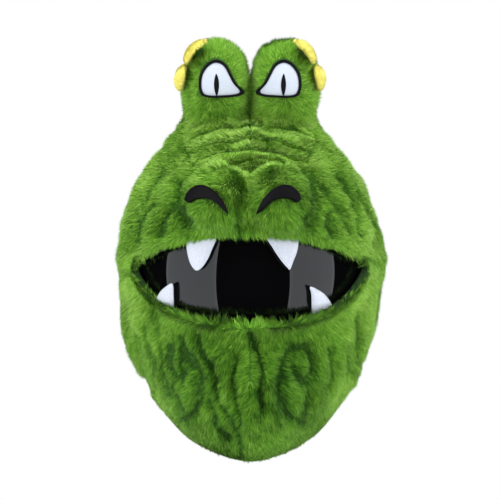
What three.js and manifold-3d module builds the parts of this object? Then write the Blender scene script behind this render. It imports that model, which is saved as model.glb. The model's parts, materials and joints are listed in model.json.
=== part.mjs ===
// A full-face motorcycle helmet dressed in a plush crocodile cover, as a three.js scene graph.
// Units are millimetres, +Z is up and the face looks along -Y. Every shape is built around the
// visor's pivot axis, which runs along X, and the finished group is then stood on its hem.
import * as THREE from "three";
import { mergeVertices } from "three/addons/utils/BufferGeometryUtils.js";
import Module from "manifold-3d";

const wasm = await Module();
wasm.setup();

// ---- Driving dimensions -------------------------------------------------------------------
const HALF_WIDTH = 122; // shell, from the middle to its side at the pivots
const FRONT = 131; // shell, from the pivot axis to the brow, and up to the crown
const REAR = 163; // shell, from the pivot axis to the back of the head
const FLOOR = -172; // underside of the plush hem
const SHELL_BASE = -156; // lower edge of the shell
const CHIN_REACH = 26; // how far the chin bar stands ahead of the brow
const CHIN_POINT = 0.5; // 0 is an elliptical chin, and higher values are more pointed
const SHELL_WALL = 4;
const GAP = 0.4; // between pieces that touch on the real object

// Layers, as offsets from the shell's outer face.
const EPS_OUT = -SHELL_WALL - GAP;
const EPS_IN = -30;
const LINER_OUT = EPS_IN - GAP;
const LINER_IN = -38;
const VISOR_IN = 2.2;
const VISOR_OUT = 4.4;
const COVER_IN = 8.6;
const COVER_OUT = 17.5;

// The eye port and the visor, seen from the side, as angles about the pivot.
const PORT_LOW = -15.5;
const PORT_HIGH = 31;
const PORT_BACK = -45;
const VISOR_LOW = -19.6;
const VISOR_HIGH = 36.5;
const VISOR_HUB = 29; // radius of the visor's round ends
const HUB_BORE = 6;

// The mouth of the cover, seen from the front.
const MOUTH_HALF = 117;
const MOUTH_CORNER_Z = 10;
const MOUTH_RISE = 50;
const MOUTH_DROP = 38;

const SEAM_Z = MOUTH_CORNER_Z; // where the jaw and nape panels are sewn to the head panel
const SIDE_SEAM_Y = 12; // where the jaw panel meets the nape panel
const HEM_TOP = -161.6;
const FAR = 400; // long enough to cut through everything
const RING_SEGMENTS = 28;

const rad = THREE.MathUtils.degToRad;
const vec = (x, y, z) => new THREE.Vector3(x, y, z);

// ---- Solids -------------------------------------------------------------------------------
function solid(geometry) {
  const bare = geometry.clone();
  bare.deleteAttribute("normal");
  bare.deleteAttribute("uv");
  const merged = mergeVertices(bare, 1e-3);
  return new wasm.Manifold(
    new wasm.Mesh({
      numProp: 3,
      vertProperties: new Float32Array(merged.attributes.position.array),
      triVerts: new Uint32Array(merged.index.array),
    }),
  );
}

function geometryOf(manifold) {
  const mesh = manifold.getMesh();
  const geometry = new THREE.BufferGeometry();
  geometry.setAttribute("position", new THREE.BufferAttribute(mesh.vertProperties, 3));
  geometry.setIndex(new THREE.BufferAttribute(mesh.triVerts, 1));
  const faceted = geometry.toNonIndexed();
  faceted.computeVertexNormals();
  return faceted;
}

function join(...solids) {
  return solids.reduce((all, next) => all.add(next));
}

function block(x0, x1, y0, y1, z0, z1) {
  const box = new THREE.BoxGeometry(x1 - x0, y1 - y0, z1 - z0);
  return solid(box.translate((x0 + x1) / 2, (y0 + y1) / 2, (z0 + z1) / 2));
}

const slab = (z0, z1) => block(-FAR, FAR, -FAR, FAR, z0, z1);

// A round bar along X between two planes.
function barX(radius, x0, x1, y, z, sides = 28) {
  const bar = new THREE.CylinderGeometry(radius, radius, x1 - x0, sides);
  return solid(bar.rotateZ(Math.PI / 2).translate((x0 + x1) / 2, y, z));
}

// A round bar along X on one side of the head, from x0 out to x1.
function outward(radius, way, x0, x1, y, z, sides = 28) {
  return barX(radius, Math.min(way * x0, way * x1), Math.max(way * x0, way * x1), y, z, sides);
}

// A side-view outline (y, z) carried along X.
function prismX(shape, x0 = -FAR, x1 = FAR) {
  const body = new THREE.ExtrudeGeometry(shape, { depth: x1 - x0, bevelEnabled: false });
  const basis = new THREE.Matrix4().makeBasis(vec(0, 1, 0), vec(0, 0, 1), vec(1, 0, 0));
  return solid(body.applyMatrix4(basis).translate(x0, 0, 0));
}

// A front-view outline (x, z) carried along Y, or along a line tipped up from it.
function prismY(shape, y0, y1, tip = 0) {
  const body = new THREE.ExtrudeGeometry(shape, { depth: y1 - y0, bevelEnabled: false });
  return solid(body.rotateX(Math.PI / 2).translate(0, y1, 0).rotateX(rad(-tip)));
}

// ---- The head form: every layer of the helmet and of the cover is this form, offset -------
const LOW_RINGS = [FLOOR, -169, -163, -155, -138, -116, -90, -64, -40];
const HIGH_RINGS = 6;

// Half-width and reach to the front and rear at a height, for one layer.
function section(z, offset) {
  if (z >= 0) {
    const share = Math.sqrt(Math.max(0, 1 - (z / (FRONT + offset)) ** 2));
    return {
      side: (HALF_WIDTH + offset) * share,
      front: (FRONT + offset) * share,
      rear: (REAR + offset) * share,
    };
  }
  const depth = z / FLOOR;
  const chin = CHIN_REACH * Math.sin(Math.PI * Math.min(1, depth) ** 1.8);
  return {
    side: HALF_WIDTH * (1 - 0.38 * depth ** 2.4) + offset,
    front: FRONT + chin + offset,
    rear: REAR * (1 - 0.25 * depth ** 1.5) + offset,
  };
}

// A level outline: an ellipse at the back, drawn towards a point at the front below the pivots.
function planRing({ side, front, rear }, z, segments) {
  const power = 2 - CHIN_POINT * Math.max(0, z / FLOOR);
  return Array.from({ length: segments }, (_, i) => {
    const turn = (2 * Math.PI * i) / segments;
    const [across, along] = [Math.cos(turn), Math.sin(turn)];
    if (along >= 0) return vec(side * across, rear * along, z);
    const sharpen = (value) => Math.sign(value) * Math.abs(value) ** (2 / power);
    return vec(side * sharpen(across), front * sharpen(along), z);
  });
}

const sectionRing = (z, offset) => planRing(section(z, offset), z, RING_SEGMENTS);

// A closed solid through rings of equal size, lowest first, with a flat foot and a pointed top.
function loft(rings, top) {
  const size = rings[0].length;
  const foot = rings[0].reduce((sum, p) => sum.add(p), vec(0, 0, 0)).divideScalar(size);
  const points = [...rings.flat(), foot, top];
  const index = [];
  rings.slice(1).forEach((_, r) => {
    for (let i = 0; i < size; i += 1) {
      const a = r * size + i;
      const b = r * size + ((i + 1) % size);
      index.push(a, b, b + size, a, b + size, a + size);
    }
  });
  const last = (rings.length - 1) * size;
  for (let i = 0; i < size; i += 1) {
    const next = (i + 1) % size;
    index.push(points.length - 2, next, i);
    index.push(last + i, last + next, points.length - 1);
  }
  const geometry = new THREE.BufferGeometry().setFromPoints(points);
  return solid(geometry.setIndex(index));
}

// The head form of one layer, solid, from the floor up to the crown.
function headForm(offset, offsetAt = () => offset) {
  const rings = LOW_RINGS.map((z) => sectionRing(z, offsetAt(z)));
  for (let i = 0; i < HIGH_RINGS; i += 1) {
    const z = (FRONT + offset) * Math.sin((Math.PI / 2) * (i / HIGH_RINGS));
    rings.push(sectionRing(z, offset));
  }
  return loft(rings, vec(0, 0, FRONT + offset));
}

// The brow's surface of revolution about the pivot axis, for parts that swing past it.
function browForm(offset, segments = 52, steps = 14) {
  const profile = Array.from({ length: steps + 1 }, (_, i) => {
    const t = Math.PI * (i / steps - 0.5);
    const radius = i === 0 || i === steps ? 0 : (FRONT + offset) * Math.cos(t);
    return new THREE.Vector2(radius, (HALF_WIDTH + offset) * Math.sin(t));
  });
  return solid(new THREE.LatheGeometry(profile, segments).rotateZ(-Math.PI / 2));
}

// The fabric cover hugs the helmet more closely towards its hem, and its edge rolls under.
function coverOut(grow = 0) {
  const waist = (z) => 2.5 * Math.min(1, z / -40);
  const roll = (z) => 12 * Math.max(0, (-155 - z) / 17) ** 1.8;
  const offset = COVER_OUT + grow;
  return headForm(offset, (z) => offset - waist(z) - 7 * (z / FLOOR) ** 2 - roll(z));
}

function coverIn() {
  const hollow = headForm(COVER_IN, (z) => COVER_IN - 7 * (z / FLOOR) ** 2.2);
  return hollow.intersect(slab(HEM_TOP, FAR));
}

// ---- Outlines -----------------------------------------------------------------------------
function shapeOf(points) {
  return new THREE.Shape(points.map(([x, y]) => new THREE.Vector2(x, y)));
}

// A smooth closed outline through points, mirrored for the left side.
function smoothShape(points, way = 1, steps = 26) {
  const loop = new THREE.CatmullRomCurve3(points.map(([x, z]) => vec(way * x, 0, z)), true);
  return shapeOf(loop.getSpacedPoints(steps).slice(0, -1).map((p) => [p.x, p.z]));
}

// The eye port's side view: a wedge that opens forwards, grown by a margin.
function portPrism(grow) {
  const reach = -260;
  const near = PORT_BACK + grow;
  const low = (y) => -y * Math.tan(rad(PORT_LOW)) - grow / Math.cos(rad(PORT_LOW));
  const high = (y) => -y * Math.tan(rad(PORT_HIGH)) + grow / Math.cos(rad(PORT_HIGH));
  const cut = 8;
  return prismX(
    shapeOf([
      [reach, low(reach)],
      [near - cut, low(near - cut)],
      [near, low(near) + cut / 2],
      [near, high(near) - cut / 2],
      [near - cut, high(near - cut)],
      [reach, high(reach)],
    ]),
  );
}

// Points on the visor's round end, from one angle to another, seen from the side.
function hubArc(radius, from, to, steps) {
  return Array.from({ length: steps + 1 }, (_, i) => {
    const a = rad(from + ((to - from) * i) / steps);
    return [radius * Math.cos(a), radius * Math.sin(a)];
  });
}

const rayEnd = (angle, radius) => [-radius * Math.cos(rad(angle)), radius * Math.sin(rad(angle))];

// The visor's side view: round ends at the pivots, widening to the full front.
function visorPrism() {
  const radius = FRONT + VISOR_OUT + 6;
  const low = rayEnd(VISOR_LOW, radius);
  const high = rayEnd(VISOR_HIGH, radius);
  const outline = [[-220, low[1]], low, ...hubArc(VISOR_HUB, -78, 112, 16), high, [-220, high[1]]];
  return prismX(shapeOf(outline));
}

// Everything the visor passes over as it lifts, which the shell is set back from.
function visorZone(grow) {
  const radius = VISOR_HUB + grow;
  const low = rayEnd(VISOR_LOW, 300);
  low[1] -= grow / Math.cos(rad(VISOR_LOW));
  return prismX(shapeOf([low, ...hubArc(radius, -78, 60, 12), [8, 260], [-300, 260]]));
}

// One layer of the helmet. Its outer layers are set back where the visor swings.
function helmetForm(offset) {
  if (offset < -6) return headForm(offset);
  const below = visorZone(1.4 - offset).intersect(slab(-FAR, 2));
  const above = below.subtract(browForm(offset + 0.2, 32, 12));
  return headForm(offset).subtract(above);
}

function helmetLayer(out, inner, bottom) {
  return helmetForm(out).subtract(helmetForm(inner)).intersect(slab(bottom, FAR));
}

function mouthPrism(grow) {
  const steps = 20;
  const half = MOUTH_HALF + grow;
  const edge = (i, height, power, round) => {
    const x = -half * Math.cos((Math.PI * i) / steps);
    const share = Math.max(0, 1 - Math.abs(x / half) ** power) ** round;
    return [x, MOUTH_CORNER_Z + height * share];
  };
  const points = [];
  for (let i = 0; i < steps; i += 1) points.push(edge(i, -(MOUTH_DROP + grow), 4, 0.7));
  for (let i = steps; i > 0; i -= 1) points.push(edge(i, MOUTH_RISE + grow, 2.2, 0.75));
  return prismY(shapeOf(points), -FAR, -20);
}

// The hole at the bottom that the wearer's head goes through.
function neckPrism(grow, z0, z1) {
  const ring = planRing({ side: 56 + grow, front: 101 + grow, rear: 93 + grow }, FLOOR, 40);
  const outline = shapeOf(ring.map((p) => [p.x, p.y]));
  const body = new THREE.ExtrudeGeometry(outline, { depth: z1 - z0, bevelEnabled: false });
  return solid(body.translate(0, 0, z0));
}

// ---- Materials ----------------------------------------------------------------------------
function look(colour, roughness, metalness = 0) {
  return () => new THREE.MeshStandardMaterial({ color: colour, roughness, metalness });
}

const plush = look(0x5a9c2c, 0.95);
const paleFelt = look(0xf2f2f6, 0.85);
const yellowFelt = look(0xf2e23a, 0.85);
const blackSatin = look(0x14121a, 0.5);
const shellPaint = look(0x0c0c0e, 0.25);
const smokedVisor = look(0x0a0a0c, 0.05);
const foam = look(0x2a2a2c, 0.9);
const textile = look(0x1c1c20, 0.95);
const rubber = look(0x101012, 0.8);
const plastic = look(0x17171a, 0.5);
const steel = look(0xb8babd, 0.3, 1);
const webbing = look(0x141416, 0.9);
const redTape = look(0xb0201c, 0.7);

const crocodileHelmet = new THREE.Group();
crocodileHelmet.name = "crocodile_helmet";

function piece(name, body, finish) {
  const mesh = new THREE.Mesh(geometryOf(body), finish());
  mesh.name = name;
  crocodileHelmet.add(mesh);
}

const SIDES = [
  ["left", -1],
  ["right", 1],
];

// ---- Plush cover --------------------------------------------------------------------------
function addCover() {
  const cloth = coverOut().subtract(coverIn()).subtract(mouthPrism(0));
  const upper = cloth.intersect(slab(SEAM_Z + 0.15, FAR));
  const lower = cloth.intersect(slab(HEM_TOP + 0.3, SEAM_Z - 0.15));
  piece("cover_head", upper, plush);
  piece("cover_jaw", lower.intersect(block(-FAR, FAR, -FAR, SIDE_SEAM_Y - 0.15, -FAR, FAR)), plush);
  piece("cover_nape", lower.intersect(block(-FAR, FAR, SIDE_SEAM_Y + 0.15, FAR, -FAR, FAR)), plush);
  const hem = coverOut().intersect(slab(FLOOR - 1, HEM_TOP));
  piece("hem_band", hem.subtract(neckPrism(4, FLOOR - 5, HEM_TOP + 5)), plush);
  const elastic = neckPrism(3.6, FLOOR + 1.5, HEM_TOP - 1);
  piece("hem_elastic", elastic.subtract(neckPrism(0, FLOOR - 5, HEM_TOP + 5)), webbing);
}

// A padded lump lying on the brow: drawn on the front, draped round it, then swung up.
function pad({ x, angle, offset, semi }) {
  const ball = new THREE.SphereGeometry(1, 22, 12).scale(semi.x, semi.y, semi.z);
  ball.translate(x, -(FRONT + offset), 0);
  const at = ball.attributes.position;
  for (let i = 0; i < at.count; i += 1) {
    const share = (at.getX(i) - x * 0.5) / (HALF_WIDTH + COVER_OUT);
    at.setY(i, at.getY(i) * Math.sqrt(1 - share ** 2));
  }
  return solid(ball.rotateX(rad(-angle)));
}

const NOSE = { x: 31, angle: 38.5, offset: 21, semi: vec(38, 27, 40) };
const RIDGE_ANGLES = [61.5, 69.5, 79];

function noseForm(grow) {
  const semi = NOSE.semi.clone().addScalar(grow);
  return join(...SIDES.map(([, way]) => pad({ ...NOSE, x: way * NOSE.x, semi })));
}

function addSnout() {
  const base = coverOut(0.3);
  const nose = noseForm(0).subtract(base);
  piece("nose_pad", nose, plush);
  const mounds = SIDES.map(([, way]) => moundForm(way, 0.3));
  let below = join(base, noseForm(0.3), ...mounds);
  RIDGE_ANGLES.forEach((angle, i) => {
    const semi = vec(64 - 2 * i, 10 - i, 10.5);
    const shape = { x: 0, angle, offset: COVER_OUT - 1.5, semi };
    piece(`snout_ridge_${i + 1}`, pad(shape).subtract(below), plush);
    below = below.add(pad({ ...shape, semi: semi.clone().addScalar(0.3) }));
  });
}

// The right nostril, a crescent drawn to a point at its inner end, seen from a little above.
const NOSTRIL_VIEW = 15;
const NOSTRIL_SHIFT = -7; // both sit a little to the left of the middle
const NOSTRIL = [
  [55.5, 56],
  [54, 62],
  [48, 68],
  [39, 70],
  [29, 66],
  [20, 57],
  [12.5, 41],
  [20, 49],
  [28, 55],
  [36, 58],
  [44, 58],
  [50, 54],
];

function addNostrils() {
  const layer = noseForm(1.5).subtract(noseForm(0.3)).subtract(coverOut(0.5));
  for (const [side, way] of SIDES) {
    const shifted = NOSTRIL.map(([x, z]) => [x + way * NOSTRIL_SHIFT, z]);
    const outline = prismY(smoothShape(shifted, way, 30), -FAR, -128, NOSTRIL_VIEW);
    piece(`nostril_${side}`, layer.intersect(outline), blackSatin);
  }
}

// ---- Eyes ---------------------------------------------------------------------------------
const MOUND = { x: 35.8, y: 8, radius: 36, top: 229, base: 118 };

// A mound: a lathed dome with a flared foot.
function moundForm(way, grow) {
  const r = MOUND.radius + grow;
  const profile = [
    [0, MOUND.base],
    [r + 17, MOUND.base],
    [r + 13, 123],
    [r + 6, 131],
    [r + 1, 141],
    [r - 2, 150],
    [r, 172],
    [r * 0.97, 184],
    [r * 0.9, 196],
    [r * 0.82, 206],
    [r * 0.72, 214],
    [r * 0.6, 220 + grow],
    [r * 0.36, 226.5 + grow],
    [0, MOUND.top + grow],
  ];
  const dome = new THREE.LatheGeometry(profile.map(([a, b]) => new THREE.Vector2(a, b)), 32);
  return solid(dome.rotateX(Math.PI / 2).translate(way * MOUND.x, MOUND.y, 0));
}

// Front views of the right eye: its edge, and its slit pupil.
const EYE = [
  [6.5, 174],
  [27.5, 173],
  [45, 173.5],
  [50, 178.5],
  [50.8, 188.5],
  [48.2, 199],
  [41, 207.5],
  [32.5, 210],
  [24.5, 205.5],
  [19.5, 196.5],
  [14, 185.5],
];
const PUPIL = [
  [33.2, 175.7],
  [35.7, 183],
  [35.5, 190],
  [33.6, 196.5],
  [31.2, 191],
  [30.8, 183],
];
const EYE_EDGE = 0.86; // the white's size as a share of the stitched edge's

const shrink = (points, share, [cx, cz]) => {
  return points.map(([x, z]) => [cx + (x - cx) * share, cz + (z - cz) * share]);
};

function addEye(side, way) {
  const half = block(way < 0 ? -FAR : 0.2, way < 0 ? -0.2 : FAR, -FAR, FAR, -FAR, FAR);
  const crown = coverOut(0.3);
  piece(`eye_mound_${side}`, moundForm(way, 0).intersect(half).subtract(crown), plush);
  const front = (points) => prismY(smoothShape(points, way), -FAR, MOUND.y - 8);
  const layer = (from, to) => moundForm(way, to).subtract(moundForm(way, from)).intersect(half);
  const middle = [33, 188.5];
  const edge = front(EYE).subtract(front(shrink(EYE, EYE_EDGE, middle)));
  piece(`eye_outline_${side}`, layer(0.3, 1.9).intersect(edge), blackSatin);
  const white = front(shrink(EYE, EYE_EDGE - 0.015, middle));
  piece(`eye_white_${side}`, layer(0.3, 1.5).intersect(white), paleFelt);
  piece(`pupil_${side}`, layer(1.8, 2.6).intersect(front(PUPIL)), blackSatin);
}

// Puffy yellow scales along the outer edge of each eye mound.
const BROW_SCALES = [
  ["upper", vec(50.5, 4, 212.5), vec(18, 8, 12.5), 42],
  ["lower", vec(65, 4, 188), vec(11, 8, 13), -14],
];

function addBrowScales(side, way) {
  for (const [name, centre, semi, lean] of BROW_SCALES) {
    const ball = new THREE.SphereGeometry(1, 18, 12).scale(semi.x, semi.y, semi.z);
    ball.rotateY(rad(way * lean)).translate(way * centre.x, centre.y, centre.z);
    piece(`brow_scale_${side}_${name}`, solid(ball).subtract(moundForm(way, 0.3)), yellowFelt);
  }
}

// ---- Teeth --------------------------------------------------------------------------------
// Front views. The root of each runs past the lip, where it is trimmed off.
const TEETH = {
  upper_left: [[-61, 80], [-61.5, 44], [-59, 31], [-52, 22], [-44, 28], [-37, 43.5], [-31, 80]],
  upper_right: [[46.5, 80], [46, 43], [42, 32.5], [38, 24], [30.5, 33], [22.5, 45], [14, 80]],
  lower_left: [[-95, -50], [-93.5, -19], [-88, -6], [-76, 5.3], [-75, -4], [-76, -50]],
  lower_right: [[83, -50], [80, -18], [73.5, -6], [58.2, 5.2], [60.3, -5], [61, -50]],
};

function addTeeth() {
  const layer = browForm(15).subtract(browForm(10.5)).intersect(mouthPrism(-0.3));
  for (const [name, points] of Object.entries(TEETH)) {
    const along = new THREE.CatmullRomCurve3(points.map(([x, z]) => vec(x, 0, z)), false, "centripetal");
    const outline = along.getPoints(24).map((p) => [p.x, p.z]);
    piece(`tooth_${name}`, layer.intersect(prismY(shapeOf(outline), -FAR, -30)), paleFelt);
  }
}

// ---- Helmet shell and its linings ---------------------------------------------------------
function addShell() {
  const bosses = SIDES.map(([, way]) => outward(24, way, 113.5, 120, 0, 0));
  const pockets = SIDES.map(([, way]) => outward(20.6, way, 118.6, 140, 0, 0));
  const wall = helmetLayer(0, -SHELL_WALL, SHELL_BASE).add(join(...bosses));
  const rivets = SIDES.map(([, way]) => outward(3.4, way, 96, 130, STRAP_Y, ANCHOR.z));
  const cuts = join(portPrism(0), ...pockets, ...rivets, chinVentBlock(GAP), crownVentBlock(GAP));
  piece("helmet_shell", wall.subtract(cuts), shellPaint);
}

function addEps() {
  const duct = block(-7, 7, 18, 30, 85, 124);
  const bosses = SIDES.map(([, way]) => outward(24.6, way, 113, 140, 0, 0));
  const chin = block(-FAR, FAR, -FAR, -70, -FAR, -10);
  const cuts = join(portPrism(4), chin, duct, ...bosses, crownVentBlock(GAP));
  piece("crown_eps", helmetLayer(EPS_OUT, EPS_IN, -64).subtract(cuts), foam);
  const front = helmetLayer(EPS_OUT, -22, -150).intersect(block(-FAR, FAR, -FAR, -70.6, -150, 0));
  piece("chin_eps", front.subtract(portPrism(4)).subtract(chinVentBlock(GAP)), foam);
}

function addLinings() {
  const face = join(portPrism(6), block(-FAR, FAR, -FAR, -60, -FAR, -10));
  piece("comfort_liner", helmetLayer(LINER_OUT, LINER_IN, -60).subtract(face), textile);
  const cheeks = helmetLayer(-4.8, -44, -134).intersect(block(-FAR, FAR, -70, 22, -134, -64.4));
  for (const [side, way] of SIDES) {
    const slot = strapBand(way, STRAP_WIDTH + 5, 7).add(outward(9, way, 96, 120, STRAP_Y, ANCHOR.z));
    const half = block(way < 0 ? -FAR : 0, way < 0 ? 0 : FAR, -FAR, FAR, -FAR, FAR);
    piece(`cheek_pad_${side}`, cheeks.intersect(half).subtract(slot), textile);
  }
  const nape = block(-FAR, FAR, 22.6, FAR, -148, -64.4);
  piece("neck_roll", helmetLayer(-4.8, -26, -148).intersect(nape), textile);
  const chin = helmetLayer(-22.4, -24.8, -112).intersect(block(-FAR, FAR, -FAR, -88, -112, -69));
  piece("breath_deflector", chin, rubber);
}

function addSeals() {
  const rim = portPrism(3.5).subtract(portPrism(-2.5));
  const slot = helmetLayer(0.3, -SHELL_WALL - 0.3, -150).subtract(portPrism(-0.3));
  piece("eyeport_gasket", helmetLayer(1, -5.3, -150).intersect(rim).subtract(slot), rubber);
  const ring = (out, inner) => headForm(out).subtract(headForm(inner));
  const edge = ring(1.4, -5.8).intersect(slab(SHELL_BASE - 3.5, SHELL_BASE + 4.5));
  const wall = ring(0.3, -SHELL_WALL - 0.3).intersect(slab(SHELL_BASE - 0.3, 0));
  piece("edge_trim", edge.subtract(wall), rubber);
}

function addVisor() {
  const bore = barX(HUB_BORE, -150, 150, 0, 0, 32);
  const shield = browForm(VISOR_OUT).subtract(browForm(VISOR_IN)).intersect(visorPrism());
  piece("visor", shield.subtract(bore), smokedVisor);
  for (const [side, way] of SIDES) {
    const plate = outward(20, way, 119, 121.2, 0, 0, 40).add(outward(5.2, way, 121, 126.4, 0, 0));
    piece(`pivot_plate_${side}`, plate, plastic);
    piece(`pivot_cap_${side}`, outward(10.5, way, 126.9, 128.6, 0, 0, 32), plastic);
  }
}

// ---- Vents --------------------------------------------------------------------------------
const CHIN_VENT = { half: 21, low: -114, high: -96, out: -154.4, back: -144 };
const SLIDER_TRAVEL = 8;
const CROWN_VENT = { half: 20, front: 8, rear: 48, floor: 121, top: 130.3 };

function chinVentBlock(grow) {
  const v = CHIN_VENT;
  return block(-v.half - grow, v.half + grow, v.out, v.back + grow, v.low - grow, v.high + grow);
}

function crownVentBlock(grow) {
  const v = CROWN_VENT;
  return block(-v.half - grow, v.half + grow, v.front - grow, v.rear + grow, v.floor - grow, v.top);
}

function addChinVent() {
  const v = CHIN_VENT;
  const wall = 4;
  const inside = v.half - wall;
  const pocket = block(-inside, inside, v.out - 5, v.back - 3, v.low + wall, v.high - wall);
  const slots = [-13, -6, 1].map((x) => block(x, x + 4, v.back - 5, v.back + 5, v.low + 6, v.high - 6));
  piece("chin_vent_frame", chinVentBlock(0).subtract(join(pocket, ...slots)), plastic);
  const reach = inside - SLIDER_TRAVEL - 0.5;
  const plate = block(0.5 - inside, reach, v.back - 6.4, v.back - 3.4, v.low + 4.5, v.high - 4.5);
  const thumb = block(-7, -3, v.out + 0.5, v.back - 6, v.low + 5.5, v.high - 5.5);
  piece("chin_vent_slider", plate.add(thumb), plastic);
}

function addCrownVent() {
  const v = CROWN_VENT;
  const start = v.front + 5;
  const end = v.rear - 5;
  const pocket = block(-15, 15, start, end, v.floor + 4, v.top + 5);
  const slots = [2, 10].map((y) => block(-11, 11, start + y, start + y + 5, v.floor - 5, v.floor + 5));
  piece("crown_vent_frame", crownVentBlock(0).subtract(join(pocket, ...slots)), plastic);
  const plate = block(-14.5, 14.5, start + 0.5, end - SLIDER_TRAVEL - 1, v.floor + 4.4, v.floor + 7);
  const thumb = block(-9, 9, start + 7, start + 10, v.floor + 6, v.top - 0.6);
  piece("crown_vent_slider", plate.add(thumb), plastic);
}

// ---- Chin strap ---------------------------------------------------------------------------
const STRAP_Y = -14;
const STRAP_WIDTH = 22;
const STRAP_Z = -146;
const ANCHOR = { x: 101.2, z: -88 };

// A flat band of webbing in the plane y = STRAP_Y, through (x, z) points.
function band(points, width, thickness, steps) {
  const path = new THREE.CatmullRomCurve3(points.map(([x, z]) => vec(x, 0, z)));
  const spine = path.getSpacedPoints(steps);
  const side = (t, way) => {
    const along = path.getTangentAt(t);
    return vec(-along.z, 0, along.x).multiplyScalar((way * thickness) / 2);
  };
  const upper = spine.map((p, i) => p.clone().add(side(i / steps, 1)));
  const lower = spine.map((p, i) => p.clone().add(side(i / steps, -1))).reverse();
  const outline = [...upper, ...lower].map((p) => [p.x, p.z]);
  return prismY(shapeOf(outline), STRAP_Y - width / 2, STRAP_Y + width / 2);
}

const strapPath = (way, inner) => [
  [way * ANCHOR.x, ANCHOR.z + 9],
  [way * ANCHOR.x, ANCHOR.z - 9],
  [way * 95.4, -110],
  [way * 87.4, -123],
  [way * 74, -136],
  [way * 56, STRAP_Z + 2],
  [way * inner, STRAP_Z],
];

const strapBand = (way, width, thickness) => band(strapPath(way, 37), width, thickness, 14);

function addChinStrap() {
  for (const [side, way] of SIDES) {
    const bore = outward(3.3, way, 96, 120, STRAP_Y, ANCHOR.z);
    piece(`chin_strap_${side}`, strapBand(way, STRAP_WIDTH, 2).subtract(bore), webbing);
    const [near, far] = [way * 50, way * 80].sort((a, b) => a - b);
    const span = block(near, far, -FAR, FAR, -170, -135.5);
    const sleeve = strapBand(way, STRAP_WIDTH + 8, 7).intersect(span);
    piece(`strap_sleeve_${side}`, sleeve.subtract(strapBand(way, STRAP_WIDTH + 0.8, 2.8)), textile);
    const head = outward(7, way, 113, 115, STRAP_Y, ANCHOR.z);
    const shank = outward(3, way, ANCHOR.x - 3, 114, STRAP_Y, ANCHOR.z, 20);
    const washer = outward(6, way, ANCHOR.x - 4, ANCHOR.x - 2, STRAP_Y, ANCHOR.z);
    piece(`strap_rivet_${side}`, join(head, shank, washer), steel);
  }
}

// The quick-release: a toothed tongue on the left strap, a receiver and its lever on the right.
const BUCKLE = { left: -4, right: 36, half: 13, low: STRAP_Z - 6, high: STRAP_Z + 5 };
const LEVER = { pin: 27, tip: -2, thick: 2.4 };

function addBuckle() {
  const b = BUCKLE;
  const leverZ = b.low - LEVER.thick / 2 - GAP;
  const body = block(b.left, b.right, STRAP_Y - b.half, STRAP_Y + b.half, b.low, b.high);
  const channel = block(b.left - 5, b.right - 6, STRAP_Y - 9, STRAP_Y + 9, b.low + 3, b.high - 3);
  const ears = [-1, 1].map((way) => {
    const y = STRAP_Y + way * (b.half - 1.5);
    return block(LEVER.pin - 4, LEVER.pin + 4, y - 1.5, y + 1.5, b.low - 4, b.low + 1);
  });
  piece("buckle_receiver", body.subtract(channel).add(join(...ears)), steel);
  const teeth = Array.from({ length: 8 }, (_, i) => {
    return block(i * 3.4, i * 3.4 + 1.8, STRAP_Y - 6, STRAP_Y + 6, STRAP_Z, STRAP_Z + 1.6);
  });
  const tongue = block(-34, 29, STRAP_Y - 8, STRAP_Y + 8, STRAP_Z - 1.5, STRAP_Z + 0.5);
  piece("buckle_tongue", join(tongue, ...teeth), plastic);
  const paddle = block(LEVER.tip, LEVER.pin, STRAP_Y - 9, STRAP_Y + 9, leverZ - 1.2, leverZ + 1.2);
  const knuckle = solid(
    new THREE.CylinderGeometry(1.9, 1.9, 19, 16).translate(LEVER.pin, STRAP_Y, b.low - 2.3),
  );
  const tape = block(LEVER.tip - 14, LEVER.tip - 0.4, STRAP_Y - 6, STRAP_Y + 6, leverZ - 0.7, leverZ + 0.7);
  piece("buckle_lever", paddle.add(knuckle), steel);
  piece("lever_pull_tape", tape, redTape);
}

// ---- Build, then stand the model on its hem with its middle over the origin ----------------
addCover();
addSnout();
addNostrils();
for (const [side, way] of SIDES) {
  addEye(side, way);
  addBrowScales(side, way);
}
addTeeth();
addShell();
addEps();
addLinings();
addSeals();
addVisor();
addChinVent();
addCrownVent();
addChinStrap();
addBuckle();

const box = new THREE.Box3().setFromObject(crocodileHelmet);
const middle = box.getCenter(vec(0, 0, 0));
for (const mesh of crocodileHelmet.children) mesh.position.set(-middle.x, -middle.y, -box.min.z);

export default crocodileHelmet;
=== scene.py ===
"""Looks for a full-face helmet in a plush crocodile cover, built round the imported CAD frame.

Shapes are worked out in millimetres about the visor's pivot axis, as in the CAD source: X to the
viewer's right, the face along -Y, Z up. "View" coordinates are millimetres as the camera sees them.
"""

import json
import math

import bmesh
import bpy
import numpy as np
from mathutils import Matrix, Vector
from mathutils.bvhtree import BVHTree


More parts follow.
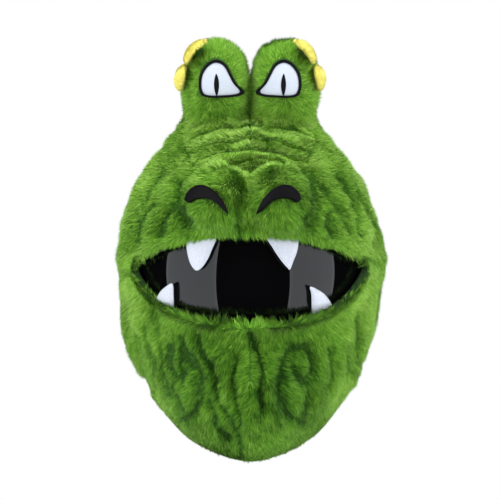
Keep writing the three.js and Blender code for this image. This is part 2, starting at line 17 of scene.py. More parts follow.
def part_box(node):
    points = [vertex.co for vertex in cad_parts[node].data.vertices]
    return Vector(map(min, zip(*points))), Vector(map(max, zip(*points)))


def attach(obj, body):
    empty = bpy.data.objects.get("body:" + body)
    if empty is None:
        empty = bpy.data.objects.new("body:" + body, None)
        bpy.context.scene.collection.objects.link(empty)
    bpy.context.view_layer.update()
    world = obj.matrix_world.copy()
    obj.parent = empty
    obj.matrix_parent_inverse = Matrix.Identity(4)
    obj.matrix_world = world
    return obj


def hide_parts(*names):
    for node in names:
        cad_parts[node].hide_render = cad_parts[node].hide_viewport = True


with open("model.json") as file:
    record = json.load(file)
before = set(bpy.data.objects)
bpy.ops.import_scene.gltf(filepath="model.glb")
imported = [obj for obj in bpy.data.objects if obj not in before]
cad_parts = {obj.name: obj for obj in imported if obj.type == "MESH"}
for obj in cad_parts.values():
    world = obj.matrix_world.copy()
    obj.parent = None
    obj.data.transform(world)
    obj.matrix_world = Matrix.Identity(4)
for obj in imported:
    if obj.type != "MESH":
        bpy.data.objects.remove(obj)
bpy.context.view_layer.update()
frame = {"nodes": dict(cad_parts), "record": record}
nodes = frame["nodes"]
rng = np.random.default_rng(41)

MM = 1000.0  # millimetres in a metre

# ---- Driving sizes, from the CAD source, in millimetres ----
HALF_WIDTH, FRONT, REAR, FLOOR = 122.0, 131.0, 163.0, -172.0
CHIN_REACH, CHIN_POINT = 26.0, 0.5
VISOR_IN, VISOR_OUT = 2.2, 4.4
COVER_OUT = 17.5
MOUND_X, MOUND_Y, MOUND_R = 35.8, 8.0, 36.0
RIDGE_ANGLES = (61.5, 69.5, 79.0)
SEAM_Z, SIDE_SEAM_Y, HEM_TOP = 10.0, 12.0, -161.6

PILE_INSET = 5.4  # the backing cloth lies this far inside the pile's outer face
PILE_LENGTH = 7.6
PILE_WIDTH = 0.62
PILE_LEAN = 0.8
TUFT_SIZE = 4.6
STRAY_SHARE, STRAY_LENGTH = 0.012, 1.35  # a few strands stand out, this much longer
STRANDS_PER_MM2 = 2.3
STRANDS_PER_PIECE = 185000  # no object holds many more strands than this

FAR = 1e9  # further than any distance here
NOTHING_NEAR = 50.0  # the clearance given where there is no patch

# ---- Camera ----
ELEVATION = math.radians(15)
DISTANCE = 2200.0
MM_PER_PIXEL = 1.03
FRAME_PIXELS = 500  # the photograph is square
SENSOR_MM = 36
VIEW_RIGHT = np.array([1.0, 0.0, 0.0])
VIEW_UP = np.array([0.0, math.sin(ELEVATION), math.cos(ELEVATION)])
VIEW_BACK = np.array([0.0, -math.cos(ELEVATION), math.sin(ELEVATION)])
AIM_UP = 8.2  # the camera aims this far above the pivot

cap_lo, cap_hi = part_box("pivot_plate_left")
PIVOT = np.array([0.0, (cap_lo.y + cap_hi.y) / 2, (cap_lo.z + cap_hi.z) / 2])


def to_m(p):
    return np.asarray(p) / MM + PIVOT


def to_mm(p):
    return (np.asarray(p) - PIVOT) * MM


def unit(v):
    return v / np.maximum(np.linalg.norm(v, axis=-1, keepdims=True), 1e-9)


def rise(value, start, end):
    """0 up to the start, rising evenly to 1 at the end, which may lie on either side of it."""
    return np.clip((value - start) / (end - start), 0, 1)


def hill(value, width):
    """1 at zero, falling away smoothly over the width."""
    return np.exp(-((value / width) ** 2))


def view_of(p):
    """Where the camera sees each point, in millimetres right of and above the pivot."""
    scale = DISTANCE / (DISTANCE - p @ VIEW_BACK)
    return p @ VIEW_RIGHT * scale, p @ VIEW_UP * scale


# ---- Mesh helpers ----
def placed(name, data):
    obj = bpy.data.objects.new(name, data)
    bpy.context.scene.collection.objects.link(obj)
    return obj


def new_object(name, mesh, body="helmet", replaces=(), smooth=True):
    """A piece of the visual, which rides a body and stands in for the CAD nodes it replaces."""
    obj = placed(name, mesh)
    if smooth:
        mesh.polygons.foreach_set("use_smooth", np.ones(len(mesh.polygons), bool))
    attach(obj, body)
    if replaces:
        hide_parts(*replaces)
    return obj


def mesh_of(name, points_mm, faces):
    mesh = bpy.data.meshes.new(name)
    mesh.from_pydata(to_m(points_mm).tolist(), [], [list(map(int, f)) for f in faces])
    mesh.update()
    return mesh


def triangle_mesh(name, points_mm, triangles):
    mesh = bpy.data.meshes.new(name)
    mesh.vertices.add(len(points_mm))
    mesh.vertices.foreach_set("co", to_m(points_mm).astype(np.float32).ravel())
    mesh.loops.add(triangles.size)
    mesh.loops.foreach_set("vertex_index", triangles.astype(np.int32).ravel())
    mesh.polygons.add(len(triangles))
    mesh.polygons.foreach_set("loop_start", np.arange(0, triangles.size, 3, dtype=np.int32))
    mesh.update(calc_edges=True)
    return mesh


def move_points(mesh, points_mm):
    mesh.vertices.foreach_set("co", to_m(points_mm).astype(np.float32).ravel())
    mesh.update()


def read_mesh(mesh):
    """Vertices in millimetres, vertex normals, and faces as triangles."""
    co = np.empty(len(mesh.vertices) * 3, np.float32)
    mesh.vertices.foreach_get("co", co)
    normals = np.empty(len(mesh.vertices) * 3, np.float32)
    mesh.vertices.foreach_get("normal", normals)
    mesh.calc_loop_triangles()
    tris = np.empty(len(mesh.loop_triangles) * 3, np.int32)
    mesh.loop_triangles.foreach_get("vertices", tris)
    points = to_mm(co.reshape(-1, 3).astype(float))
    return points, normals.reshape(-1, 3).astype(float), tris.reshape(-1, 3)


def remeshed(name, members, voxel, smooth):
    """One continuous mesh round the CAD nodes, from voxels of a size in millimetres, smoothed."""
    source = bmesh.new()
    for member in members:
        source.from_mesh(nodes[member].data)
    mesh = bpy.data.meshes.new(name)
    source.to_mesh(mesh)
    source.free()
    obj = placed(name, mesh)
    modifier = obj.modifiers.new("remesh", "REMESH")
    modifier.mode = "VOXEL"
    modifier.voxel_size = voxel / MM
    soften = obj.modifiers.new("soften", "SMOOTH")
    soften.factor = 0.5
    soften.iterations = smooth
    graph = bpy.context.evaluated_depsgraph_get()
    result = bpy.data.meshes.new_from_object(obj.evaluated_get(graph))
    bpy.data.objects.remove(obj)
    return result


# ---- Noise ----
WAVE_COUNT = 18


def waves(p, size, seed):
    """Smooth organic noise, about -1 to 1, with features of the given size."""
    local = np.random.default_rng(seed)
    total = np.zeros(len(p))
    for _ in range(WAVE_COUNT):
        direction = unit(local.normal(size=3))
        pitch = 2 * math.pi / (size * local.uniform(0.7, 1.9))
        total += np.sin(p @ direction * pitch + local.uniform(0, 6.28))
    return total / math.sqrt(WAVE_COUNT / 2) / 1.6


def scramble(cells, salt):
    """A repeatable random value, 0 to 1, for each cell. The large numbers mix its bits."""
    h = cells[:, 0] * 73856093 ^ cells[:, 1] * 19349663 ^ cells[:, 2] * 83492791
    h = h ^ (salt * 2654435761)
    h = (h ^ (h >> 13)) * 1274126177 & 0xFFFFFFFF
    h = (h ^ (h >> 16)) * 2246822519 & 0xFFFFFFFF
    return ((h ^ (h >> 15)) & 0xFFFFFF) / float(0xFFFFFF)


def clumps(p, size):
    """For each point, the nearest tuft centre and a random value that its whole tuft shares."""
    cell = np.floor(p / size).astype(np.int64)
    best = np.full(len(p), FAR)
    centre = np.zeros_like(p)
    value = np.zeros(len(p))
    for dx in (-1, 0, 1):
        for dy in (-1, 0, 1):
            for dz in (-1, 0, 1):
                near = cell + np.array([dx, dy, dz])
                jitter = np.stack([scramble(near, s) for s in (1, 2, 3)], axis=1)
                spot = (near + jitter) * size
                gap = np.sum((spot - p) ** 2, axis=1)
                closer = gap < best
                best[closer] = gap[closer]
                centre[closer] = spot[closer]
                value[closer] = scramble(near[closer], 4)
    return centre, value


def line_distance(x, u, line):
    """Distance in the view from each point to a line through the given points."""
    best = np.full(len(x), FAR)
    for (x0, u0), (x1, u1) in zip(line[:-1], line[1:]):
        dx, du = x1 - x0, u1 - u0
        t = np.clip(((x - x0) * dx + (u - u0) * du) / (dx * dx + du * du), 0, 1)
        best = np.minimum(best, np.hypot(x - x0 - t * dx, u - u0 - t * du))
    return best


# ---- The plush form ----
PLUSH = ["cover_head", "cover_jaw", "cover_nape", "hem_band", "nose_pad"]
PLUSH += [f"snout_ridge_{i}" for i in (1, 2, 3)] + ["eye_mound_left", "eye_mound_right"]
HEAD, JAW, NAPE, HEM, NOSE, FIRST_RIDGE, LEFT_MOUND, RIGHT_MOUND = 0, 1, 2, 3, 4, 5, 8, 9

# Sewn and gathered grooves, in view coordinates: (depth, points).
GROOVES = [
    # right jaw scroll
    (8.5, [(59, -90), (44, -91), (34, -101), (30, -115), (29, -131), (32.5, -148), (40, -160),
           (55, -169)]),
    (8.0, [(44, -112), (45, -119), (50, -124.5), (56, -125.5), (61, -122), (64, -110), (63, -96)]),
    (5.0, [(60, -133), (59, -144), (58, -156), (56, -167)]),
    # left jaw scroll
    (8.0, [(-84, -90), (-86.5, -105), (-83, -116), (-77, -124.5), (-71, -125), (-68, -118),
           (-72, -108), (-73, -95)]),
    (8.0, [(-70, -95), (-62, -104), (-53, -118), (-54, -134), (-53, -145), (-58, -157),
           (-69, -165)]),
    (5.0, [(-84, -129), (-76, -142), (-69, -158)]),
    # gathers down the front of the jaw
    (7.5, [(-73, -79), (-69, -91), (-57, -104), (-50, -120), (-46, -136), (-40, -153),
           (-35, -169), (-22, -184)]),
    (7.5, [(-56, -77), (-52, -95), (-40, -106), (-36, -121), (-35, -137), (-26, -156),
           (-15, -175)]),
    (7.0, [(2, -79), (6, -90), (10.5, -113), (9, -137), (13, -153)]),
    (4.5, [(-14, -100), (-17, -125), (-12, -148), (-8, -172)]),
    (5.5, [(-13, -175), (-10, -200)]),
    # sides of the jaw
    (3.5, [(-120, -79), (-114, -99), (-108, -120), (-100, -133)]),
    (5.0, [(-111, -70), (-108, -94), (-102, -109), (-101, -122)]),
    (6.5, [(-94, -88), (-95, -109), (-90, -129), (-85, -142)]),
    (4.0, [(-104, -40), (-103, -60), (-98, -78)]),
    (4.0, [(102, -90), (104, -118)]),
    (4.0, [(84, -92), (86, -112), (80, -132)]),
    (4.5, [(113, -62), (115, -84), (112, -106)]),
    (4.5, [(-132, -17), (-117, -4)]),
    (4.5, [(134, -4), (117, -2)]),
    # folds above the corners of the mouth
    (8.5, [(-75, 58), (-84, 51), (-92, 38), (-97, 26)]),
    (7.5, [(-103, 59), (-115, 47), (-120, 33), (-121, 18)]),
    (8.5, [(86, 50), (83.5, 38), (86, 24)]),
    (5.0, [(65, 90), (80, 71), (98, 47), (106, 28)]),
    (5.0, [(92, 91), (103, 73), (114.5, 45), (117, 26)]),
    (4.0, [(112, 76), (121, 53), (132, 35)]),
    (4.5, [(-77, 113), (-94, 93), (-112, 63)]),
    # round the nose
    (9.0, [(-76, 80), (-75, 56), (-72, 45), (-66, 35)]),
    (9.0, [(64, 88), (71, 66), (67, 50), (60, 38)]),
    (3.5, [(-10, 62), (-9, 44), (-12, 28)]),
    (4.5, [(-49, 93), (-27, 98), (5, 104), (30, 103), (51, 95), (63, 87)]),
    # between the ridges on the snout
    (6.5, [(-57, 104), (-32, 112), (4, 115), (20, 113), (45, 106), (58, 100)]),
    (6.5, [(-64, 112), (-38, 121), (4, 126.5), (26, 126), (48, 118), (60, 111)]),
    (6.5, [(-62, 124), (-35, 136), (4, 142), (20, 142), (45, 137), (60, 129)]),
    (5.0, [(-71, 121), (-64, 107), (-58, 98)]),
    (5.0, [(69, 131), (68, 119), (62, 110), (60, 98)]),
]


# The edges of the mouth, in view coordinates.
LOWER_LIP = [(-117, -4), (-95, -33), (-60, -55), (-30, -64), (0, -67)]
LOWER_LIP += [(30, -64), (60, -55), (95, -33), (117, -4)]
UPPER_LIP = [(-117, -4), (-100, 12), (-60, 21), (0, 24), (60, 21), (100, 12), (117, -4)]


WAIST, HEM_DRAW = 2.5, 7  # how far the cover is drawn in below the mouth, and at the hem


def hug_of(z):
    """How much closer to the shell the cover lies at each height."""
    return WAIST * rise(z, 0, -40) + HEM_DRAW * rise(z, 0, FLOOR) ** 2


def form_offset(p):
    """How far a point lies outside the helmet shell's own form, roughly, in millimetres."""
    x, y, z = p.T
    depth = rise(z, 0, FLOOR)
    chin = CHIN_REACH * np.sin(np.pi * depth**1.8)
    side = HALF_WIDTH * (1 - 0.38 * depth**2.4)
    rear = REAR * (1 - 0.25 * depth**1.5)
    reach = np.where(y < 0, FRONT + chin, rear)
    power = np.where(y < 0, 2 - CHIN_POINT * depth, 2)
    height = np.where(z < 0, 0, z / FRONT)
    share = (np.abs(x / side) ** power + np.abs(y / reach) ** power + height**2) ** (1 / power)
    radius = np.sqrt(x**2 + y**2 + np.where(z < 0, 0, z) ** 2)
    return radius * (1 - 1 / np.maximum(share, 1e-6)) + hug_of(z)


def brow_angle(p):
    return np.degrees(np.arctan2(p[:, 2], -p[:, 1]))


def region_of(p):
    """The CAD node that each point of the plush belongs to, as an index into PLUSH."""
    x, y, z = p.T
    offset = form_offset(p)
    angle = brow_angle(p)
    region = np.where(z > SEAM_Z, HEAD, np.where(y < SIDE_SEAM_Y, JAW, NAPE))
    region[z < HEM_TOP] = HEM
    proud = offset > COVER_OUT + 1.0
    nose = (y < -70) & (angle > 14) & (angle < 50) & (np.abs(x) < 80) & (z > 20)
    region[proud & nose] = NOSE
    snout = (np.abs(x) < 68) & (y < 0) & (z > 90)
    for i, ridge in enumerate(RIDGE_ANGLES):
        region[proud & snout & (np.abs(angle - ridge) < 5.2)] = FIRST_RIDGE + i
    mound = (np.hypot(np.abs(x) - MOUND_X, y - MOUND_Y) < MOUND_R + 5) & (z > 128) & (offset > 20)
    region[mound & (x < 0)] = LEFT_MOUND
    region[mound & (x >= 0)] = RIGHT_MOUND
    return region


def groove_depth(p):
    """How deeply the plush is drawn in, and how far it rolls out beside the jaw's gathers."""
    x, u = view_of(p)
    x, u = x + 1.6 * waves(p, 18, 5), u + 1.6 * waves(p, 18, 6)
    facing = rise(p[:, 1], 15, -15)
    deep, nearest = np.zeros(len(p)), np.full(len(p), FAR)
    narrow = rise(u, 88, 96)
    crease, shoulder = 2.6 - 0.9 * narrow, 6.2 - 3.0 * narrow
    for depth, line in GROOVES:
        gap = line_distance(x, u, line)
        drawn = 0.6 * hill(gap, crease) + 0.4 * hill(gap, shoulder)
        deep = np.maximum(deep, depth * drawn)
        nearest = np.minimum(nearest, gap)
    roll = 2.2 * hill(nearest - 9.5, 4.5) * rise(u, -60, -80)
    facing = np.where(p[:, 2] < 165, facing, 0)
    return deep * facing, roll * facing


def snout_zone(p):
    """1 on the ridged top of the snout, falling to 0 round it."""
    x, u = view_of(p)
    return rise(np.abs(x), 74, 62) * rise(u, 90, 98) * rise(u, 149, 141) * (p[:, 1] < 0)


def shagginess(p):
    """1 where the pile is long and tufted, 0 where it lies short and smooth."""
    x, u = view_of(p)
    middle = rise(np.abs(x), 80, 30) * rise(u, 90, 74)
    back = rise(p[:, 1], 0, 60)
    lip = hill(p[:, 2] + 20, 24) * rise(p[:, 1], 0, -60)
    value = 0.12 + 0.6 * middle + 0.3 * lip + 0.1 * back
    return np.clip((value + 0.12 * waves(p, 45, 9)) * (1 - snout_zone(p)), 0.0, 1)


def away_from_shell(p):
    """The direction that leads straight out of the head form."""
    x, y, z = p.T
    depth = np.where(y < 0, FRONT, REAR)
    return unit(np.stack([x / HALF_WIDTH**2, y / depth**2, np.maximum(z, 0) / FRONT**2], axis=1))


def shell_gap(p):
    """The least distance from the shell to the cover's lining, clear of the visor's pivots."""
    x, y, z = p.T
    gap = 3.4 + 2.2 * rise(z, -64, -52)
    near_pivot = (np.abs(x) > 90) & (np.hypot(y, z) < 34)
    return np.where(near_pivot, 7.0, gap)


SIDE_PLEATS, BACK_FOLDS = 9.5, 13  # to a full turn
SNOUT_OFFSET = 21.0  # the flattened top of the snout lies this far outside the shell


def sculpt(points, normals):
    """The plush form with its folds, gathers and softness, at the backing cloth."""
    offset = form_offset(points)
    x, y, z = points.T
    # The outer face, as against the lining, which faces the shell and lies close to it.
    hem = 5.0 * rise(z, -158, -168)
    outward = np.sum(normals * away_from_shell(points), axis=1)
    outer = np.where(offset + hem < 15, rise(outward, -0.35, 0.55), 1)

    # Soft lumps, pleats down the sides and back, and the sewn grooves.
    deep, roll = groove_depth(points)
    side = rise(np.abs(x), 75, 115)
    turn = np.degrees(np.arctan2(x, -y))
    pleats = np.sin(np.radians(turn * SIDE_PLEATS) + z / 34 + 1.4 * waves(points, 110, 3))
    folds = np.sin(turn / 57.3 * BACK_FOLDS + 1.2 * waves(points, 60, 4))
    cover = rise(offset, 24, 19)
    low = rise(z, -165, -125)
    lift = 1.6 * waves(points, 46, 1) + 0.9 * waves(points, 19, 2)
    lift += 2.0 * pleats * side * cover * low
    lift += 1.6 * folds * rise(y, 0, 60) * low
    lift += roll - deep
    lift += (SNOUT_OFFSET - offset) * snout_zone(points) * (offset < 30) * rise(offset, 14, 17)
    lift = np.where(z < FLOOR + 12, np.minimum(lift, 0), lift)
    lift = np.where(y > 20, np.maximum(lift, -2.0), lift)

    # Room for the pile, less of it on the jaw, at the hem, on the lips and between the mounds.
    inset = PILE_INSET - 2.0 * rise(z, -30, -70)
    inset *= np.clip((z - FLOOR - 2) / 8, 0.6, 1)
    view = view_of(points)
    lip = np.minimum(line_distance(*view, LOWER_LIP), line_distance(*view, UPPER_LIP))
    inset = np.where((y < 0) & (offset < 20), inset * np.clip(lip / 14, 0.3, 1), inset)
    cleft = (z > 128) & (offset > COVER_OUT + 2)
    inset = np.where(cleft, inset * rise(np.abs(x), 0, 16), inset)
    moved = points + normals * ((lift - inset) * outer)[:, None]

    # The outer face stays clear of the shell, and the lining lies on it.
    gap = shell_gap(points)
    needed = gap + 2.0 - (form_offset(moved) - hug_of(moved[:, 2]))
    moved += normals * (np.clip(needed, 0, 8) * (outer > 0.05))[:, None]
    spare = (offset - hug_of(z)) - gap
    lined = rise(outward, 0, -0.5) * (offset < 13) * rise(z, -160, -150)
    moved += normals * (np.clip(spare, 0, 5) * lined)[:, None]
    moved[:, 2] = np.maximum(moved[:, 2], FLOOR + 1.0)
    return moved, deep, outer


form_mesh = remeshed("form", PLUSH, voxel=2.6, smooth=8)
form_points, form_normals, form_tris = read_mesh(form_mesh)
form_tree = BVHTree.FromPolygons(form_points.tolist(), form_tris.tolist())
skin_points, skin_deep, skin_outer = sculpt(form_points, form_normals)
move_points(form_mesh, skin_points)
skin_points, skin_normals, skin_tris = read_mesh(form_mesh)


# ---- Materials ----
def srgb(*levels):
    """A linear colour from red, green and blue as screens give them, 0 to 255."""
    linear = (((c / 255 + 0.055) / 1.055) ** 2.4 if c > 10 else c / 255 / 12.92 for c in levels)
    return (*linear, 1.0)


def add(tree, kind, inputs=()):
    """A new shader node, with each input set to a value or linked from an output."""
    node = tree.nodes.new(f"ShaderNode{kind}")
    for key, value in dict(inputs).items():
        if isinstance(value, bpy.types.NodeSocket):
            tree.links.new(value, node.inputs[key])
        else:
            node.inputs[key].default_value = value
    return node


def plain(name, colour, roughness=0.8, sheen=0.0, metallic=0.0):
    mat = bpy.data.materials.new(name)
    mat.use_nodes = True
    settings = {
        "Base Color": colour,
        "Roughness": roughness,
        "Metallic": metallic,
        "Specular IOR Level": 0.12 if sheen else 0.5,
        "Sheen Weight": sheen,
        "Sheen Roughness": 0.5,
        "Sheen Tint": (*(c**0.4 for c in colour[:3]), 1.0),
    }
    for key, value in settings.items():
        mat.node_tree.nodes["Principled BSDF"].inputs[key].default_value = value
    return mat


def textured(
    name, dark, light, size, roughness, bump, kind="noise",
    sheen=0.0, metallic=0.0, stretch=(1, 1, 1),
):
    """A material whose colour and relief follow a procedural pattern, sized in millimetres."""
    mat = plain(name, dark, roughness, sheen, metallic)
    tree = mat.node_tree
    shader = tree.nodes["Principled BSDF"]
    where = add(tree, "TexCoord").outputs["Object"]
    pitch = [MM / size * s for s in stretch]
    scaled = add(tree, "Mapping", {"Vector": where, "Scale": pitch}).outputs["Vector"]
    if kind == "weave":
        threads = []
        for direction in ("DIAGONAL", "Z"):
            wave = add(tree, "TexWave", {"Vector": scaled, "Scale": 0.5, "Distortion": 0.6})
            wave.bands_direction = direction
            threads.append(wave.outputs["Fac"])
        both = add(tree, "Math", enumerate(threads))
        both.operation = "MULTIPLY"
        pattern = both.outputs["Value"]
    elif kind == "cells":
        pattern = add(tree, "TexVoronoi", {"Vector": scaled, "Scale": 1.0}).outputs["Distance"]
    else:
        noise = add(tree, "TexNoise", {"Vector": scaled, "Scale": 1.0, "Detail": 6.0})
        pattern = noise.outputs["Fac"]
    ramp = add(tree, "ValToRGB", {"Fac": pattern})
    first_stop, last_stop = ramp.color_ramp.elements
    first_stop.color, last_stop.color = dark, light
    first_stop.position, last_stop.position = 0.3, 0.7
    tree.links.new(ramp.outputs["Color"], shader.inputs["Base Color"])
    relief = add(tree, "Bump", {"Strength": bump, "Distance": size / 4 / MM, "Height": pattern})
    tree.links.new(relief.outputs["Normal"], shader.inputs["Normal"])
    return mat


# The pile's tones, dark to light.
GREENS = [(32, 68, 10), (58, 106, 20), (82, 137, 30), (106, 162, 42), (132, 184, 60)]
GREENS.append((164, 208, 92))
YELLOWS = [(216, 206, 84), (232, 224, 106), (244, 238, 132)]
pile_tones = [plain(f"pile_{i}", srgb(*tone), 0.75, sheen=0.35) for i, tone in enumerate(GREENS)]
backing = textured("plush_backing", srgb(38, 76, 14), srgb(66, 116, 26), 5.0, 0.95, 0.6)
lining = textured("cover_lining", srgb(28, 54, 16), srgb(44, 78, 26), 1.2, 0.95, 0.5, "weave")


# ---- Backing cloth, one piece for each sewn panel ----
tri_middle = skin_points[skin_tris].mean(axis=1)
tri_region = region_of(form_points[skin_tris].mean(axis=1))
tri_outer = skin_outer[skin_tris].mean(axis=1)
for index, node in enumerate(PLUSH):
    chosen = skin_tris[tri_region == index]
    used, flat = np.unique(chosen, return_inverse=True)
    mesh = triangle_mesh(f"{node}_cloth", skin_points[used], flat.reshape(-1, 3))
    mesh.materials.append(backing)
    mesh.materials.append(lining)
    inside = (tri_outer[tri_region == index] < 0.3).astype(np.int32)
    mesh.polygons.foreach_set("material_index", inside)
    cloth = new_object(f"{node}_cloth", mesh, replaces=[node])


def curve_point(p0, p1, p2, p3, t):
    """The point a share t of the way from p1 to p2, on a smooth curve through all four."""
    slope, bend, twist = p2 - p0, 2 * p0 - 5 * p1 + 4 * p2 - p3, 3 * p1 - p0 - 3 * p2 + p3
    return 0.5 * (2 * p1 + slope * t + bend * t * t + twist * t**3)


def smooth_loop(points, count):
    """A closed smooth outline through points."""
    pts = np.array(points, float)
    n = len(pts)
    out = []
    for k in range(count):
        f = k * n / count
        i, t = int(f), f - int(f)
        out.append(curve_point(*(pts[(i + d) % n] for d in (-1, 0, 1, 2)), t))
    return np.array(out)


def smooth_line(points, count):
    """An open smooth line through points."""
    pts = np.array([points[0], *points, points[-1]], dtype=float)
    out = []
    for k in range(count):
        f = k * (len(points) - 1) / (count - 1)
        i = min(int(f), len(points) - 2)
        out.append(curve_point(*pts[i : i + 4], f - i))
    return np.array(out)


# ---- Pile ----
EYE = [
    (6.5, 174), (27.5, 173), (45, 173.5), (50, 178.5), (50.8, 188.5), (48.2, 199),
    (41, 207.5), (32.5, 210), (24.5, 205.5), (19.5, 196.5), (14, 185.5),
]
EYE_MIDDLE = np.array([33.0, 188.5])
NOSTRIL_UPPER = [(55.5, 57), (53.5, 63), (48, 68.5), (39, 70.5), (29.5, 66.5), (20, 57), (13.5, 44)]
NOSTRIL_LOWER = [(52, 53.5), (48.5, 56), (43, 58), (36, 58), (28, 55), (21, 49), (14.5, 43)]
NOSTRIL_SHIFT = -7.0  # both sit a little to the left of the middle


def outline_gap(x, u, outline):
    """Distance to a closed outline, negative inside it."""
    loop = list(outline) + [outline[0]]
    gap = line_distance(x, u, loop)
    inside = np.zeros(len(x), bool)
    for (x0, u0), (x1, u1) in zip(loop[:-1], loop[1:]):
        if u0 == u1:
            continue
        crossing = (u0 > u) != (u1 > u)
        inside ^= crossing & (x < (x1 - x0) * (u - u0) / (u1 - u0) + x0)
    return np.where(inside, -gap, gap)


def clearance(p):
    """Distance from each point to the nearest sewn-on patch, negative beneath one."""
    x = np.abs(p[:, 0])
    gap = np.full(len(p), NOTHING_NEAR)
    near_eye = (p[:, 2] > 160) & (p[:, 1] < MOUND_Y - 8)
    eye = outline_gap(x, p[:, 2], smooth_loop(EYE, 60))
    gap = np.where(near_eye, eye, gap)
    flat = p[:, 1] * math.sin(ELEVATION) + p[:, 2] * math.cos(ELEVATION)
    near_nose = (p[:, 1] < -100) & (p[:, 2] > 40) & (p[:, 2] < 140)
    crescent = NOSTRIL_UPPER + NOSTRIL_LOWER[::-1]
    x = np.abs(p[:, 0] - NOSTRIL_SHIFT)
    return np.where(near_nose, np.minimum(gap, outline_gap(x, flat, crescent)), gap)


def flow_of(p, n, region):
    """The way the pile lies."""
    out = np.sign(p[:, 0])
    x, u = view_of(p)
    lip = hill(line_distance(x, u, LOWER_LIP), 10) * (p[:, 1] < 0)
    down = np.stack([0.25 * out, np.zeros(len(p)), 1.6 * lip - 1.0], axis=1)
    up = unit(np.stack([p[:, 0] - out * MOUND_X, np.zeros(len(p)), p[:, 2] - 180], axis=1) + 1e-6)
    way = np.where((region >= LEFT_MOUND)[:, None], up, down)
    swirl = np.stack([waves(p, 42, 21), waves(p, 42, 22), waves(p, 42, 23)], axis=1)
    way = unit(way) + (0.25 + 0.7 * shagginess(p))[:, None] * np.clip(swirl, -0.9, 0.9)
    way -= np.sum(way * n, axis=1, keepdims=True) * n
    return unit(way)


def grow(
    name, roots, normals, upright, region, deep, length, width, lean, tuft, tones, materials, slot
):
    """Strands as slim blades, three corners each, drawn together into tufts.

    Strands leave their roots upright, leaning with the flow. Normals are the skin's, for shading.
    Length, width and tuft size are in millimetres, and tones are places in the list of materials.
    """
    count = len(roots)
    shag = shagginess(roots)
    flow = flow_of(roots, upright, region)
    wild = rng.normal(size=(count, 3))
    centre, shared = clumps(roots, tuft)
    fine_centre, fine_shared = clumps(roots + 50, tuft * 0.45)
    long = length * (0.74 + 0.42 * shag) * rng.uniform(0.7, 1.15, count) * (0.9 + 0.2 * shared)
    long *= 1 - 0.8 * rise(deep, 0, 8)
    long *= 0.32 + 0.68 * rise(roots[:, 2] - FLOOR, 0, 46)
    long *= np.clip(0.35 + clearance(roots) / 9, 0.35, 1)
    stray = rng.random(count) < STRAY_SHARE * (0.3 + shag)
    long = np.where(stray, long * STRAY_LENGTH, long)
    direction = unit(upright + lean * flow + 0.24 * wild)
    tip = roots + direction * long[:, None]
    leaning = (upright + lean * flow) * long[:, None] * 0.85
    aim, aim_fine = centre + leaning, fine_centre - 50 + leaning
    tip += (aim - tip) * (0.05 + 0.26 * shag)[:, None] + (aim_fine - tip) * 0.2
    direction = unit(tip - roots)
    across = unit(np.cross(direction, upright) + 0.35 * rng.normal(size=(count, 3)))
    across -= np.sum(across * direction, axis=1, keepdims=True) * direction
    across = unit(across)
    half = (width / 2 * rng.uniform(0.7, 1.25, count))[:, None]
    corners = np.stack([roots - across * half, roots + across * half, tip], axis=1)
    face = np.cross(corners[:, 1] - corners[:, 0], corners[:, 2] - corners[:, 0])
    flip = np.sum(face * normals, axis=1) < 0
    corners[flip] = corners[flip][:, [1, 0, 2]]
    # Strands in the grooves, and on the cover's turned-in rim, are painted darker: painted shade in
    # the creases.
    level = tones - 0.4 * deep + (0.5 + 0.7 * shag) * (shared - 0.5) + 1.3 * (fine_shared - 0.5)
    level += 0.75 * rng.normal(size=count) + 1.2 * stray
    level = np.clip(np.round(level), 0, len(materials) - 1).astype(np.int32)
    shade = unit(normals + 0.35 * direction + 0.25 * wild)
    order = np.lexsort((roots[:, 2], roots[:, 0] > 0))
    pieces = max(1, math.ceil(count / STRANDS_PER_PIECE))
    for i, part in enumerate(np.array_split(order, pieces)):
        label = f"{name}_{i + 1}" if pieces > 1 else name
        blades = np.arange(len(part) * 3).reshape(-1, 3)
        mesh = triangle_mesh(label, corners[part].reshape(-1, 3), blades)
        for mat in materials:
            mesh.materials.append(mat)
        mesh.polygons.foreach_set("material_index", level[part])
        mesh.polygons.foreach_set("use_smooth", np.ones(len(part), bool))
        mesh.normals_split_custom_set(np.repeat(shade[part], 3, axis=0).tolist())
        new_object(label, mesh, smooth=False)


def scatter(points, normals, tris, keep, density):
    """Random spots on the kept triangles, so many to a square millimetre.

    Gives each spot, its normal, its triangle's place among the chosen ones, those triangles, and
    the weights of its corners.
    """
    chosen = tris[keep]
    a, b, c = points[chosen[:, 0]], points[chosen[:, 1]], points[chosen[:, 2]]
    area = np.linalg.norm(np.cross(b - a, c - a), axis=1) / 2
    share = rng.poisson(area * density)
    which = np.repeat(np.arange(len(chosen)), share)
    r1, r2 = np.sqrt(rng.random(len(which))), rng.random(len(which))
    w = np.stack([1 - r1, r1 * (1 - r2), r1 * r2], axis=1)
    spots = np.einsum("ij,ijk->ik", w, points[chosen[which]])
    facing = unit(np.einsum("ij,ijk->ik", w, normals[chosen[which]]))
    return spots, facing, which, chosen, w


def scale_clearance(p):
    """Distance from each point to the nearest yellow brow scale."""
    gap = np.full(len(p), NOTHING_NEAR)
    for side in ("left", "right"):
        for place in ("upper", "lower"):
            lo, hi = (to_mm(v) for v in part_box(f"brow_scale_{side}_{place}"))
            middle, semi = (lo + hi) / 2, (hi - lo) / 2
            middle[1], semi[1] = (-6.5, 19.0) if place == "upper" else (-3.5, 17.0)
            share = np.linalg.norm((p - middle) / (semi - 1.5), axis=1)
            gap = np.minimum(gap, (share - 1) * semi.min())
    return gap


